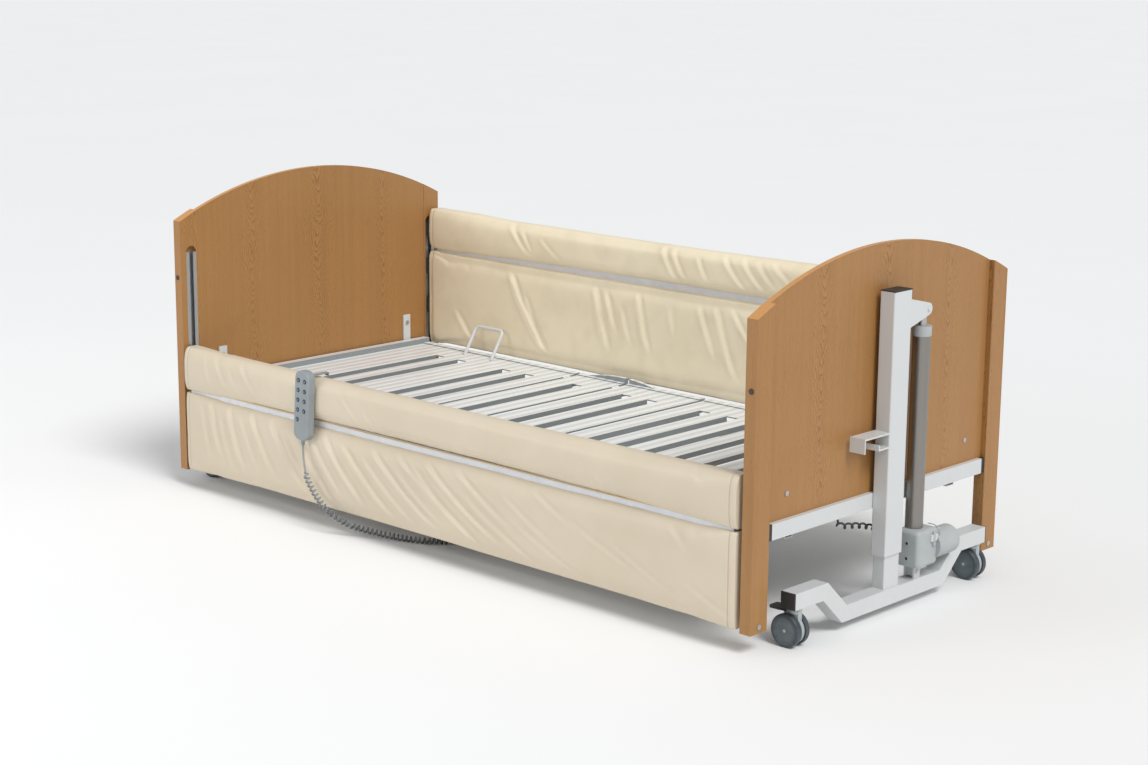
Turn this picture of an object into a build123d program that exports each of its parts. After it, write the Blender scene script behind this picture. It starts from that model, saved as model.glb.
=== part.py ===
"""Adjustable low hospital bed: two lift bases on castors, a floating bed frame with a four-section platform,
padded sliding side rails, a hand control and its curly cord.

Frame: +X towards the foot end, -Y the near side with the hand control, +Z up, floor at z = 0, in millimetres.
The bed is modelled at its lowest height, with the near side rail down and the far side rail up.
"""
from build123d import *
from math import asin, cos, degrees, pi, radians, sin, tan
import os

# ---- Overall sizes ----
half_length = 1065.5        # outer faces of the end boards
half_width = 500.0          # outer faces of the end posts
post_bottom = 51.0          # clearance of the end posts above the floor
post_depth = 31.3           # post size along X
post_width = 61.0           # post size along Y
corner_height = 727.0       # post outer corner above post_bottom
apex_height = 845.0         # middle of the arched board above post_bottom

# ---- End boards ----
panel_inner = half_length - 30.5
panel_outer = half_length - 15.5
panel_bottom = post_bottom + 247.0
post_inner_y = half_width - post_width
channel_y = 463.5
channel_width = 36.0
channel_depth = 12.0
channel_wall = 2.0
channel_bottom = 71.0
channel_top = 705.0
post_face = half_length - post_depth      # inner face of the posts

# ---- End crossbars, columns and lift actuators ----
crossbar_outer = 1062.5
crossbar_half = 426.5
crossbar_z = (260.0, panel_bottom)
column_x = (1062.5, 1105.5)
column_y = (-43.0, 27.0)
column_z = (146.5, 787.0)
column_wall = 2.5
inner_column_size = (35.0, 60.0)
inner_column_top = 775.0
lift_pin = (1086.0, 101.0, 731.0)
lift_tube_z = (190.0, 665.0)
lift_tube_radius = 22.0
lift_rod_radius = 10.0
lift_motor_radius = 36.0

# ---- Wheel base bars and castors ----
bar_x = (1066.0, 1107.0)
bar_half = 389.0
bar_height = 40.0
bar_high = 95.0             # underside of the raised ends
bar_low = 24.0              # underside of the dropped middle
castor_stem = (1090.0, 366.0)
castor_trail = 14.0
wheel_radius = 40.0
wheel_width = 16.0
hood_half = 7.0
pedal_pin_z = 86.5

# ---- Mattress platform ----
deck_half = 430.0
deck_top = 307.0
plate_top = 304.0
rim_width = 25.0
rim_bottom = 280.6
slat_pitch = 97.0
slot_width = 40.0
slot_length = 620.0
hinge_z = 300.0             # backrest and thigh hinges
knee_z = 284.0
backrest_x = -337.0
thigh_x = -143.0
knee_x = 150.0
head_end_x = -1027.0
foot_end_x = 1020.0
hinge_gap = 6.0
lever_radius = 110.0
backrest_swing = 70.0
thigh_swing = 35.0

# ---- Chassis under the platform ----
rail_y = (315.0, 345.0)
rail_z = (241.0, 280.0)
crossmember_x = (-600.0, -235.0, 30.0, 200.0, 640.0)
back_actuator_y = -60.0
knee_actuator_y = 60.0

# ---- Side rails and pads ----
rail_travel = 310.0
bar_half_length = 1010.0
bar_section = (25.0, 50.0)
near_bar_heights = (357.0, 236.0, 110.0)
pad_half_length = 1022.0
roll_y = (438.5, 520.0)
roll_near_z = (296.0, 418.0)
pad_y = (450.0, 516.0)
near_pad_z = (57.0, 282.0)
far_pad_z = (303.0, 592.0)

# ---- Hand control and cords ----
handset_centre = (-456.0, -532.5, 342.5)
handset_size = (58.0, 23.0, 193.0)
handset_tilt = 4.2
button_radius = 6.0
button_rows = (69.5, 42.2, 14.9, -12.4, -39.7)
button_column = 13.0
button_stand = 1.3          # how far a button stands out of the shell
lead_diameter = 5.5
coil_diameter = 18.0
cable_diameter = 17.0
lead_route = [(-464.2, -532.5, 230.2), (-462.2, -534.0, 206.0), (-456.0, -537.0, 184.0), (-449.0, -539.0, 167.0)]
coil_route = [
    (-449.0, -539.0, 167.0), (-441.0, -541.3, 147.6), (-423.0, -541.0, 124.0), (-400.0, -540.0, 99.0),
    (-374.0, -537.0, 76.0), (-345.0, -531.0, 57.0), (-308.0, -508.0, 33.0), (-272.0, -484.0, 22.5),
    (-232.0, -463.0, 16.0), (-190.0, -447.0, 12.5), (-148.0, -432.0, 11.0), (-112.0, -412.0, 10.0),
    (-80.0, -384.0, 9.6), (-52.0, -348.0, 9.3), (-28.0, -310.0, 14.0), (-10.0, -275.0, 40.0),
    (-2.0, -255.0, 84.0), (0.0, -250.0, 135.0), (0.0, -250.0, 183.0),
]
cable_route = [
    (1060.0, 104.0, 150.0), (1040.0, 104.0, 150.0), (1028.0, 84.0, 160.0), (1030.0, 40.0, 184.0),
    (1037.0, -20.0, 206.0), (1043.0, -80.0, 222.0), (1047.0, -128.0, 230.0), (1048.0, -150.0, 236.5),
    (1048.0, -164.0, 248.0), (1048.0, -164.0, 260.0),
]


# ---- Small helpers ----
def block(x, y, z):
    """Box between pairs of coordinates."""
    size = (x[1] - x[0], y[1] - y[0], z[1] - z[0])
    return Pos((x[0] + x[1]) / 2, (y[0] + y[1]) / 2, (z[0] + z[1]) / 2) * Box(*size)


def pin(axis, radius, start, end, at):
    """Cylinder along X, Y or Z from start to end; at holds the other two coordinates in axis order."""
    body = Cylinder(radius, end - start)
    middle = (start + end) / 2
    if axis == "X":
        return Pos(middle, at[0], at[1]) * Rot(0, 90, 0) * body
    if axis == "Y":
        return Pos(at[0], middle, at[1]) * Rot(90, 0, 0) * body
    return Pos(at[0], at[1], middle) * body


def mirror_y(shape):
    return mirror(shape, about=Plane.XZ)


def turn_round(shape):
    """The same piece at the head end: half a turn about the bed's middle."""
    return Rot(0, 0, 180) * shape


def save(node, *solids):
    flat = []
    for item in solids:
        flat += item.solids()
    export_step(Compound(children=[Solid(s.wrapped) for s in flat]), f"parts/{node}.step")


def arc_radii(route, name):
    """Fillet radii of a cord's route, each as large as its two runs allow."""
    points = [Vector(*p) for p in route]
    radii = []
    for before, here, after in zip(points, points[1:], points[2:]):
        turn = (here - before).get_angle(after - here)
        run = min((here - before).length, (after - here).length)
        radii.append(0.45 * run / tan(radians(turn / 2)))
    print(name, "radii", [round(r, 1) for r in radii])
    return radii


def cord_tube(route, diameter, name):
    radii = arc_radii(route, name)
    path = FilletPolyline(*route, radius=radii)
    section = Plane(origin=path @ 0, z_dir=path % 0) * Circle(diameter / 2)
    tube = sweep(section, path=path)
    expected = pi * (diameter / 2) ** 2 * path.length
    print(name, "length", round(path.length, 1), "volume ratio", round(tube.volume / expected, 4))
    return tube


# ---- End boards ----
def board_blank(x):
    """Slab with the arched top edge, over the full width, between two X positions."""
    corner = post_bottom + corner_height
    apex = post_bottom + apex_height
    top = ThreePointArc((-half_width, corner), (0, apex), (half_width, corner))
    sides = Polyline((half_width, corner), (half_width, post_bottom), (-half_width, post_bottom),
                     (-half_width, corner))
    outline = Plane.YZ.offset(x[0]) * make_face(top + sides)
    return extrude(outline, amount=x[1] - x[0], dir=(1, 0, 0))


def post():
    """Near post of the foot end, with the groove for the side rail channel in its inner face."""
    everything = (0, 2000)
    body = board_blank((post_face, half_length)) & block(everything, (-half_width, -post_inner_y), everything)
    groove_x = (post_face - 1, post_face + channel_depth)
    half = channel_width / 2
    groove = block(groove_x, (-channel_y - half, -channel_y + half), (channel_bottom, channel_top - half))
    groove += pin("X", half, groove_x[0], groove_x[1], (-channel_y, channel_top - half))
    return chamfer((body - groove).edges().filter_by(Axis.Z).group_by(Axis.X)[-1], 1.5)


def panel():
    everything = (0, 2000)
    width = (-post_inner_y + 0.3, post_inner_y - 0.3)
    return board_blank((panel_inner, panel_outer)) & block(everything, width, (panel_bottom, 2000))


def channel():
    """Lipped steel channel that lines the near foot post's groove."""
    half = channel_width / 2 - 0.2
    lip_gap = 7.0
    z = (channel_bottom + 0.2, channel_top - channel_width / 2)
    body = block((post_face, post_face + channel_depth - 0.2), (-channel_y - half, -channel_y + half), z)
    inside = half - channel_wall
    body -= block((post_face + channel_wall, post_face + channel_depth - 0.2 - channel_wall),
                  (-channel_y - inside, -channel_y + inside), (0, 2000))
    body -= block((post_face - 1, post_face + channel_wall + 1), (-channel_y - lip_gap, -channel_y + lip_gap),
                  (0, 2000))
    back = post_face + channel_depth - 0.2 - channel_wall
    rivets = [pin("X", 4.0, back - 1.2, back, (-channel_y, height)) for height in (140.0, 622.0)]
    return body + rivets


def at_four_corners(piece):
    """A near foot piece repeated at the far side and at the head end."""
    far = mirror_y(piece)
    return [piece, far, mirror(piece, about=Plane.YZ), mirror(far, about=Plane.YZ)]


def end_boards():
    save("end_board_posts", *at_four_corners(post()))
    save("foot_panel", panel())
    save("head_panel", mirror(panel(), about=Plane.YZ))
    save("rail_channels", *at_four_corners(channel()))
    plug = pin("Y", 7.0, -half_width - 1.2, -half_width, (half_length - 14.5, 615.0))
    save("post_plugs", *at_four_corners(plug))
    post_bolt = pin("X", 6.5, half_length, half_length + 2.0, (-470.0, 66.5))
    panel_bolt = pin("X", 6.5, panel_outer, panel_outer + 2.0, (-361.0, 356.0))
    inner_nut = pin("X", 6.0, panel_inner - 8.0, panel_inner - 4.0, (-361.0, 375.0))
    save("end_board_bolts", *at_four_corners(post_bolt), *at_four_corners(panel_bolt),
         *at_four_corners(inner_nut))


# ---- Crossbars, chassis and brackets ----
def box_tube_x(x, y, z, wall):
    """Square tube along X, open at both ends."""
    inner = ((y[0] + wall, y[1] - wall), (z[0] + wall, z[1] - wall))
    return block(x, y, z) - block((x[0] - 1, x[1] + 1), *inner)


def box_tube_y(x, y, z, wall):
    """Square tube along Y, open at both ends."""
    inner_x = (x[0] + wall, x[1] - wall)
    inner_z = (z[0] + wall, z[1] - wall)
    return block(x, y, z) - block(inner_x, (y[0] - 1, y[1] + 1), inner_z)


def crossbar():
    return box_tube_y((panel_inner, crossbar_outer), (-crossbar_half, crossbar_half), crossbar_z, 2.0)


def crossbar_cap():
    """Moulded block between the near end of the foot crossbar and its post."""
    return block((panel_inner, crossbar_outer), (-post_inner_y, -crossbar_half), crossbar_z)


def column_cap():
    plate = block(column_x, column_y, (column_z[1], column_z[1] + 3.0))
    return chamfer(plate.faces().sort_by(Axis.Z)[-1].edges(), 1.2)


def bracket():
    """Flat bracket that ties the near side of a panel to the crossbar below it."""
    return block((panel_inner - 4.0, panel_inner), (-375.0, -347.0), (262.0, 399.0))


def actuator_ears(x, y, z):
    """Two hanging ears with a pin, for the rear end of a platform actuator."""
    ears = []
    for side in (-1, 1):
        inner, outer = sorted((y + side * 11.0, y + side * 16.0))
        ears.append(block((x - 12.0, x + 12.0), (inner, outer), (z - 12.0, rail_z[0] + 1.0)))
    ears.append(pin("Y", 5.0, y - 11.0, y + 11.0, (x, z)))
    return ears


def chassis():
    rail = box_tube_x((-panel_inner, panel_inner), rail_y, rail_z, 2.0)
    parts = [rail, mirror_y(rail)]
    for x in crossmember_x:
        z = (rail_z[0] + 1.0, rail_z[1] - 3.0)
        parts.append(box_tube_y((x - 12.5, x + 12.5), (-rail_y[0], rail_y[0]), z, 2.0))
    parts += actuator_ears(212.0, back_actuator_y, back_rod_z())
    parts += actuator_ears(-612.0, knee_actuator_y, knee_rod_z())
    save("chassis_frame", *parts)
    save("end_crossbars", crossbar(), mirror(crossbar(), about=Plane.YZ))
    save("panel_brackets", *at_four_corners(bracket()))
    save("frame_end_plugs", *at_four_corners(crossbar_cap()), column_cap(), turn_round(column_cap()))


# ---- Lift columns ----
def outer_column():
    """Foot end lifting column with the actuator's lug and pin at its top."""
    tube = fillet(block(column_x, column_y, column_z).edges().filter_by(Axis.Z), 4.0)
    wall = column_wall
    tube -= block((column_x[0] + wall, column_x[1] - wall), (column_y[0] + wall, column_y[1] - wall), (0, 2000))
    parts = [tube]
    x, y, z = lift_pin
    for side in (-1, 1):
        start = x + min(side * 11.5, side * 16.5)
        outline = make_hull((Pos(y, z) * Circle(15.0)).edges()
                            + (Pos(column_y[1] + 1.0, z - 2.0) * Rectangle(2.0, 68.0)).edges())
        parts.append(extrude(Plane.YZ.offset(start) * outline, amount=5.0, dir=(1, 0, 0)))
    parts.append(pin("X", 5.0, x - 20.0, x + 20.0, (y, z)))
    return parts


def utility_hook():
    """Strip bracket on the near face of the foot column: top plate, end flap and lower lip."""
    y = column_y[0]
    return [
        block(column_x, (y - 99.0, y), (449.0, 453.0)),
        block(column_x, (y - 99.0, y - 95.0), (417.0, 449.0)),
        block(column_x, (y - 42.0, y), (415.0, 419.0)),
        block(column_x, (y - 42.0, y - 38.0), (419.0, 429.0)),
    ]


def lift_rod():
    x, y, z = lift_pin
    rod = pin("Z", lift_rod_radius, 230.0, z - 12.0, (x, y))
    eye = pin("X", 14.0, x - 10.6, x + 10.6, (y, z))
    return rod + eye - pin("X", 5.05, x - 11.0, x + 11.0, (y, z))


def columns():
    save("foot_column", *outer_column(), *utility_hook())
    save("head_column", *[turn_round(part) for part in outer_column()])
    save("lift_rods", lift_rod(), turn_round(lift_rod()))


# ---- Wheel bases ----
def bar_outline(inset):
    """Bent bar's side view in Y and Z, drawn inset from its skin, with open ends run past the bar."""
    high = (bar_high + inset, bar_high + bar_height - inset)
    low = (bar_low + inset, bar_low + bar_height - inset)
    shift = inset * tan(radians(21.75))
    top_high, top_low = 268.0 + shift, 192.0 + shift
    under_high, under_low = 284.0 - shift, 208.0 - shift
    end = bar_half + (1.0 if inset else 0.0)
    right = [(end, high[0]), (under_high, high[0]), (under_low, low[0])]
    upper = [(top_low, low[1]), (top_high, high[1]), (end, high[1])]
    left = [(-y, z) for y, z in right[::-1]]
    upper_left = [(-y, z) for y, z in upper[::-1]]
    return Polyline(*right, *left, *upper_left, *upper, close=True)


def wheel_base_bar():
    outer = extrude(Plane.YZ.offset(bar_x[0]) * make_face(bar_outline(0.0)), amount=bar_x[1] - bar_x[0],
                    dir=(1, 0, 0))
    wall = 2.5
    inner = extrude(Plane.YZ.offset(bar_x[0] + wall) * make_face(bar_outline(wall)),
                    amount=bar_x[1] - bar_x[0] - 2 * wall, dir=(1, 0, 0))
    bar = outer - inner
    for side in (-1, 1):
        at = (castor_stem[0], side * castor_stem[1])
        bar += pin("Z", 10.0, bar_high, bar_high + bar_height - wall, at)
        bar -= pin("Z", 5.55, bar_high - 1.0, bar_high + 32.0, at)
    return bar


def inner_column():
    x = sum(column_x) / 2
    y = sum(column_y) / 2
    wide, deep = inner_column_size
    z = (bar_low + bar_height, inner_column_top)
    body = fillet(block((x - wide / 2, x + wide / 2), (y - deep / 2, y + deep / 2), z).edges().filter_by(Axis.Z),
                  3.0)
    wall = 2.5
    return body - block((x - wide / 2 + wall, x + wide / 2 - wall), (y - deep / 2 + wall, y + deep / 2 - wall),
                        (z[0] + 3.0, 2000))


def lift_clevis():
    """Two ears and a pin on the dropped middle of the bar, for the lift actuator's foot."""
    x, y = lift_pin[0], lift_pin[1]
    parts = []
    for side in (-1, 1):
        start, end = sorted((x + side * 10.0, x + side * 15.0))
        parts.append(block((start, end), (y - 13.0, y + 13.0), (bar_low + bar_height, 92.0)))
    parts.append(pin("X", 5.0, x - 18.0, x + 18.0, (y, 80.0)))
    return parts


def lift_motor():
    """Gearbox with its foot tongue, the motor can lying across the bed, and the tube's top collar."""
    x, y = lift_pin[0], lift_pin[1]
    gearbox = fillet(block((1060.0, 1128.0), (64.0, 148.0), (96.0, lift_tube_z[0])).edges(), 11.0)
    tongue = block((x - 9.5, x + 9.5), (y - 12.0, y + 12.0), (70.0, 100.0))
    tongue -= pin("X", 5.05, x - 12.0, x + 12.0, (y, 80.0))
    can = pin("Y", lift_motor_radius, 140.0, 230.0, (1104.0, 141.0))
    can = fillet(can.faces().sort_by(Axis.Y)[-1].edges(), 9.0)
    collar = pin("Z", lift_tube_radius + 1.2, lift_tube_z[1], lift_tube_z[1] + 24.0, (x, y))
    collar -= pin("Z", lift_rod_radius + 0.2, 600.0, 720.0, (x, y))
    return [gearbox + tongue + can, collar]


def lift_tube():
    at = lift_pin[:2]
    return pin("Z", lift_tube_radius, *lift_tube_z, at) - pin("Z", lift_rod_radius + 1.0, 210.0, 700.0, at)


def bar_cap():
    """End plug of the near end of the foot bar."""
    cap = block(bar_x, (-bar_half - 4.0, -bar_half), (bar_high, bar_high + bar_height))
    return chamfer(cap.faces().sort_by(Axis.Y)[0].edges(), 1.2)


def wheel_bases():
    foot = {
        "foot_base_frame": [wheel_base_bar(), inner_column(), *lift_clevis()],
        "foot_base_caps": [bar_cap(), mirror_y(bar_cap())],
        "foot_lift_motor": lift_motor(),
        "foot_lift_tube": [lift_tube()],
    }
    for node, parts in foot.items():
        save(node, *parts)
        save(node.replace("foot", "head"), *[turn_round(part) for part in parts])


# ---- Castors ----
def castor_hood(side):
    """Stem, hood and axle of the foot castor on one side; the wheels trail towards the bed's middle."""
    x, y = castor_stem[0], side * castor_stem[1]
    wheel_x = x - castor_trail
    hood = pin("Y", wheel_radius - 4.0, y - hood_half, y + hood_half, (wheel_x, wheel_radius))
    hood += block((x - 28.0, x + 13.0), (y - hood_half, y + hood_half), (wheel_radius, 92.0))
    hood += pin("Z", 13.0, 82.0, 93.0, (x, y))
    hood += pin("Z", 16.0, 91.0, bar_high - 0.5, (x, y))
    hood += pin("Z", 5.5, 90.0, bar_high + 30.0, (x, y))
    hood += pin("Y", 4.0, y - 23.0, y + 23.0, (wheel_x, wheel_radius))
    return hood - pin("Y", 2.55, y - 20.0, y + 20.0, (x - 24.0, pedal_pin_z))


def castor_wheels(side):
    x, y = castor_stem[0] - castor_trail, side * castor_stem[1]
    wheels = []
    for way in (-1, 1):
        start, end = sorted((y + way * (hood_half + 1.0), y + way * (hood_half + 1.0 + wheel_width)))
        wheel = pin("Y", wheel_radius, start, end, (x, wheel_radius))
        outer_face = wheel.faces().filter_by(Axis.Y).sort_by(Axis.Y)[0 if way < 0 else -1]
        wheel = fillet(outer_face.edges(), 5.0)
        edge = end if way > 0 else start
        wheel -= pin("Y", 28.0, edge - 1.5, edge + 1.5, (x, wheel_radius))
        wheels.append(wheel - pin("Y", 4.05, start - 1.0, end + 1.0, (x, wheel_radius)))
    return wheels


def brake_pedal():
    """Foot lever of the near foot castor, forked round the hood with its pin."""
    x, y = castor_stem[0] - 24.0, -castor_stem[1]
    pedal = block((x - 42.0, x - 9.0), (y - 16.0, y + 16.0), (84.0, 90.0))
    pedal = fillet(pedal.edges().filter_by(Axis.Z), 5.0)
    for way in (-1, 1):
        inner, outer = sorted((y + way * 8.0, y + way * 11.5))
        pedal += block((x - 12.0, x + 4.0), (inner, outer), (83.0, 90.0))
    return pedal + pin("Y", 2.5, y - 11.5, y + 11.5, (x, pedal_pin_z))


def castors():
    for side, name in ((-1, "near"), (1, "far")):
        save(f"foot_{name}_castor_hood", castor_hood(side))
        save(f"foot_{name}_castor_wheels", *castor_wheels(side))
        head = mirror(castor_hood(side), about=Plane.YZ)
        save(f"head_{name}_castor_hood", head)
        save(f"head_{name}_castor_wheels", *[mirror(w, about=Plane.YZ) for w in castor_wheels(side)])
    save("brake_pedal", brake_pedal())


# ---- Mattress platform ----
def rim(x, y, bottom, top=deck_top):
    """Pressed edge channel, open underneath."""
    wall = 2.5
    body = block(x, y, (bottom, top))
    return body - block((x[0] + wall, x[1] - wall), (y[0] + wall, y[1] - wall), (bottom - 1.0, top - wall))


def deck_section(x0, x1, slots, bottom=rim_bottom):
    """One platform section: side and end rims, and a pressed plate with open slots between slats."""
    side_y = (deck_half - rim_width, deck_half)
    body = rim((x0, x1), side_y, bottom) + rim((x0, x1), (-side_y[1], -side_y[0]), bottom)
    inner_y = (-side_y[0], side_y[0])
    body += rim((x0, x0 + rim_width), inner_y, bottom, plate_top)
    body += rim((x1 - rim_width, x1), inner_y, bottom, plate_top)
    body += block((x0, x1), inner_y, (plate_top - 3.0, plate_top))
    half = slot_length / 2
    for x in slots:
        for way in (-1, 1):
            edge = x + way * slot_width / 2
            lip_x = sorted((edge, edge + way * 2.5))
            body += block(lip_x, (-half, half), (plate_top - 14.0, plate_top - 1.0))
        body -= block((x - slot_width / 2, x + slot_width / 2), (-half, half), (plate_top - 20.0, plate_top + 1.0))
    return body


def knuckle(x, z, way, y, fixed):
    """Hinge knuckle on the rim that lies on one side (way) of the axis. The fixed one carries the pin."""
    body = pin("Y", 5.5, y[0], y[1], (x, z))
    body += block(sorted((x, x + way * (hinge_gap + 1.0))), y, (z - 4.0, z + 3.5))
    if fixed:
        return body
    return body - pin("Y", 3.05, y[0] - 1.0, y[1] + 1.0, (x, z))


def hinge_pair(x, z, fixed_way):
    """Knuckles for one hinge line: the fixed side's with pins, and the moving side's."""
    fixed, moving = [], []
    for side in (-1, 1):
        inner = sorted((side * 350.0, side * 364.0))
        outer = sorted((side * 365.0, side * 379.0))
        fixed.append(knuckle(x, z, fixed_way, inner, True))
        fixed.append(pin("Y", 3.0, min(inner[0], outer[0]), max(inner[1], outer[1]), (x, z)))
        moving.append(knuckle(x, z, -fixed_way, outer, False))
    return fixed, moving


def rest_angle(swing):
    """The lever hangs back by half its swing at rest."""
    return radians(swing / 2)


def back_pin():
    a = rest_angle(backrest_swing)
    return backrest_x + lever_radius * sin(a), hinge_z - lever_radius * cos(a)


def knee_pin():
    a = rest_angle(thigh_swing)
    return thigh_x - lever_radius * sin(a), hinge_z - lever_radius * cos(a)


def back_rod_z():
    return hinge_z - lever_radius * (1 + cos(rest_angle(backrest_swing))) / 2


def knee_rod_z():
    return hinge_z - lever_radius * (1 + cos(rest_angle(thigh_swing))) / 2


def lever(root_x, pin_at, y):
    """Two plates and a cross pin that an actuator pushes."""
    outline = make_hull((Pos(*pin_at) * Circle(11.0)).edges() + (Pos(root_x, 287.5) * Rectangle(27.0, 8.0)).edges())
    parts = []
    for side in (-1, 1):
        start = y + side * 9.5
        plate = extrude(Plane.XZ.offset(-start) * outline, amount=6.0, dir=(0, side, 0))
        parts.append(plate)
    parts.append(pin("Y", 4.0, y - 9.5, y + 9.5, pin_at))
    return parts


def side_hump(x0, x1):
    """Low rounded rise of the side rim round the thigh hinge, kept between two X positions."""
    radius = (130.0 ** 2 + 13.0 ** 2) / (2 * 13.0)
    drum = pin("Y", radius, deck_half - 12.0, deck_half, (-165.0, deck_top + 13.0 - radius))
    piece = drum & block((x0, x1), (0.0, 500.0), (deck_top, deck_top + 20.0))
    return [piece, mirror_y(piece)]


def mattress_retainer():
    """Bent rod loop that leans outwards at the far edge of the backrest."""
    radius = 5.0
    path = FilletPolyline((-780, 373, plate_top), (-780, 425, 388), (-663, 425, 388), (-663, 373, plate_top),
                          radius=15.0)
    rod = sweep(Plane(origin=path @ 0, z_dir=path % 0) * Circle(radius), path=path)
    rod -= block((-800, -640), (340, 410), (280, plate_top))
    return rod


def platform():
    seat_fixed, back_moving = hinge_pair(backrest_x, hinge_z, 1)
    thigh_fixed, thigh_moving = hinge_pair(thigh_x, hinge_z, -1)
    knee_fixed, calf_moving = hinge_pair(knee_x, knee_z, -1)

    def slot_places(x0, x1, skipped=()):
        places = [backrest_x + slat_pitch * n for n in range(-7, 15)]
        return [x for n, x in zip(range(-7, 15), places) if x0 + 45 < x < x1 - 45 and n not in skipped]

    back = deck_section(head_end_x, backrest_x - hinge_gap, slot_places(head_end_x, backrest_x, (-6, -7, -3)))
    back += block((head_end_x, head_end_x + rim_width), (-deck_half, deck_half), (plate_top - 1, 320.0))
    for part in back_moving:
        back += part
    save("backrest_section", back, *lever(backrest_x - 24.0, back_pin(), back_actuator_y))

    seat = deck_section(backrest_x + hinge_gap, thigh_x - hinge_gap, [backrest_x + slat_pitch], rail_z[1])
    for part in seat_fixed + thigh_fixed + side_hump(-300.0, thigh_x - hinge_gap):
        seat += part
    save("seat_section", seat)

    thigh = deck_section(thigh_x + hinge_gap, knee_x - hinge_gap, slot_places(thigh_x, knee_x))
    for part in thigh_moving + knee_fixed + side_hump(thigh_x + hinge_gap + 2.0, 0.0):
        thigh += part
    save("thigh_section", thigh, *lever(thigh_x + 24.0, knee_pin(), knee_actuator_y))

    calf = deck_section(knee_x + hinge_gap, foot_end_x, slot_places(knee_x, foot_end_x))
    for part in calf_moving:
        calf += part
    save("calf_section", calf)
    save("mattress_retainer", mattress_retainer())


# ---- Platform actuators ----
def actuator_body(rear_x, way, y, z, tube_end, motor_way):
    """Gearbox, motor and guide tube of one platform actuator. way is the side the rod leaves on."""
    x_tongue = sorted((rear_x - way * 10.0, rear_x + way * 26.0))
    tongue = block(x_tongue, (y - 10.0, y + 10.0), (z - 9.0, z + 9.0))
    tongue -= pin("Y", 5.05, y - 12.0, y + 12.0, (rear_x, z))
    x_box = sorted((rear_x + way * 24.0, rear_x + way * 92.0))
    gearbox = fillet(block(x_box, (y - 29.0, y + 29.0), (z - 27.0, z + 33.0)).edges(), 7.0)
    tube = pin("X", 16.0, *sorted((rear_x + way * 90.0, tube_end)), (y, z))
    bore = pin("X", 9.6, *sorted((rear_x + way * 96.0, tube_end + way)), (y, z))
    x_motor = sum(x_box) / 2
    can = pin("Y", 26.0, *sorted((y + motor_way * 26.0, y + motor_way * 118.0)), (x_motor, z + 2.0))
    can = fillet(can.faces().sort_by(Axis.Y)[-1 if motor_way > 0 else 0].edges(), 6.0)
    return gearbox + tongue + can + tube - bore


def actuator_rod(pin_at, way, y, z, inner_end, slot_height):
    """Push rod with a slotted head: the slot stands upright so that the lever's pin can rise and fall in it."""
    head_x = (pin_at[0] - 13.0, pin_at[0] + 13.0)
    head = block(head_x, (y - 8.0, y + 8.0), (z - slot_height / 2 - 5.0, z + slot_height / 2 + 5.0))
    rod = pin("X", 9.0, *sorted((pin_at[0] - way * 12.0, inner_end)), (y, z))
    slot = block((pin_at[0] - 6.0, pin_at[0] + 6.0), (y - 10.0, y + 10.0), (z - slot_height / 2, z + slot_height / 2))
    return head + rod - slot


def platform_actuators():
    back = actuator_body(212.0, -1, back_actuator_y, back_rod_z(), -115.0, -1)
    knee = actuator_body(-612.0, 1, knee_actuator_y, knee_rod_z(), -290.0, 1)
    save("platform_actuators", back, knee)
    save("backrest_rod", actuator_rod(back_pin(), -1, back_actuator_y, back_rod_z(), 100.0, 32.0))
    save("knee_rod", actuator_rod(knee_pin(), 1, knee_actuator_y, knee_rod_z(), -500.0, 18.0))


# ---- Side rails ----
def rail_bars(heights):
    """Near side rail's tubes."""
    wide, tall = bar_section
    y = (-channel_y - wide / 2, -channel_y + wide / 2)
    return [box_tube_x((-bar_half_length, bar_half_length), y, (z - tall / 2, z + tall / 2), 2.0) for z in heights]


def rail_slides(heights):
    """Tube end caps, each with a T-shaped slide that runs in the post's channel."""
    wide, tall = bar_section
    parts = []
    for z in heights:
        cap = block((bar_half_length, post_face - 1.5), (-channel_y - wide / 2, -channel_y + wide / 2),
                    (z - tall / 2, z + tall / 2))
        neck = block((post_face - 2.0, post_face + 4.0), (-channel_y - 6.0, -channel_y + 6.0), (z - 20.0, z + 20.0))
        head = block((post_face + 2.7, post_face + 6.5), (-channel_y - 14.5, -channel_y + 14.5), (z - 24.0, z + 24.0))
        slide = cap + neck + head
        parts += [slide, mirror(slide, about=Plane.YZ)]
    return parts


def roll_pad(z, heights):
    """Upper padded roll round the top rail, on the near side."""
    y = (-roll_y[1], -roll_y[0])
    body = block((-pad_half_length, pad_half_length), y, z)
    body = fillet(body.edges().filter_by(Axis.X), 36.0)
    return body - rail_space(heights[0])


def lower_pad(z, heights):
    """Flat pad over the two lower rails, on the near side."""
    y = (-pad_y[1], -pad_y[0])
    body = block((-pad_half_length, pad_half_length), y, z)
    body = fillet(body.edges().filter_by(Axis.X), 20.0)
    for height in heights[1:]:
        body -= rail_space(height)
    return body


def rail_space(z):
    wide, tall = bar_section
    room = 0.5
    ends = panel_inner
    return block((-ends, ends), (-channel_y - wide / 2 - room, -channel_y + wide / 2 + room),
                 (z - tall / 2 - room, z + tall / 2 + room))


def side_rails():
    far_heights = [z + rail_travel for z in near_bar_heights]
    far_roll_z = (roll_near_z[0] + rail_travel, roll_near_z[1] + rail_travel)
    save("near_rail_bars", *rail_bars(near_bar_heights))
    save("near_rail_slides", *rail_slides(near_bar_heights))
    save("near_upper_pad", roll_pad(roll_near_z, near_bar_heights))
    save("near_lower_pad", lower_pad(near_pad_z, near_bar_heights))
    save("far_rail_bars", *[mirror_y(part) for part in rail_bars(far_heights)])
    save("far_rail_slides", *[mirror_y(part) for part in rail_slides(far_heights)])
    save("far_upper_pad", mirror_y(roll_pad(far_roll_z, far_heights)))
    save("far_lower_pad", mirror_y(lower_pad(far_pad_z, far_heights)))


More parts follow.
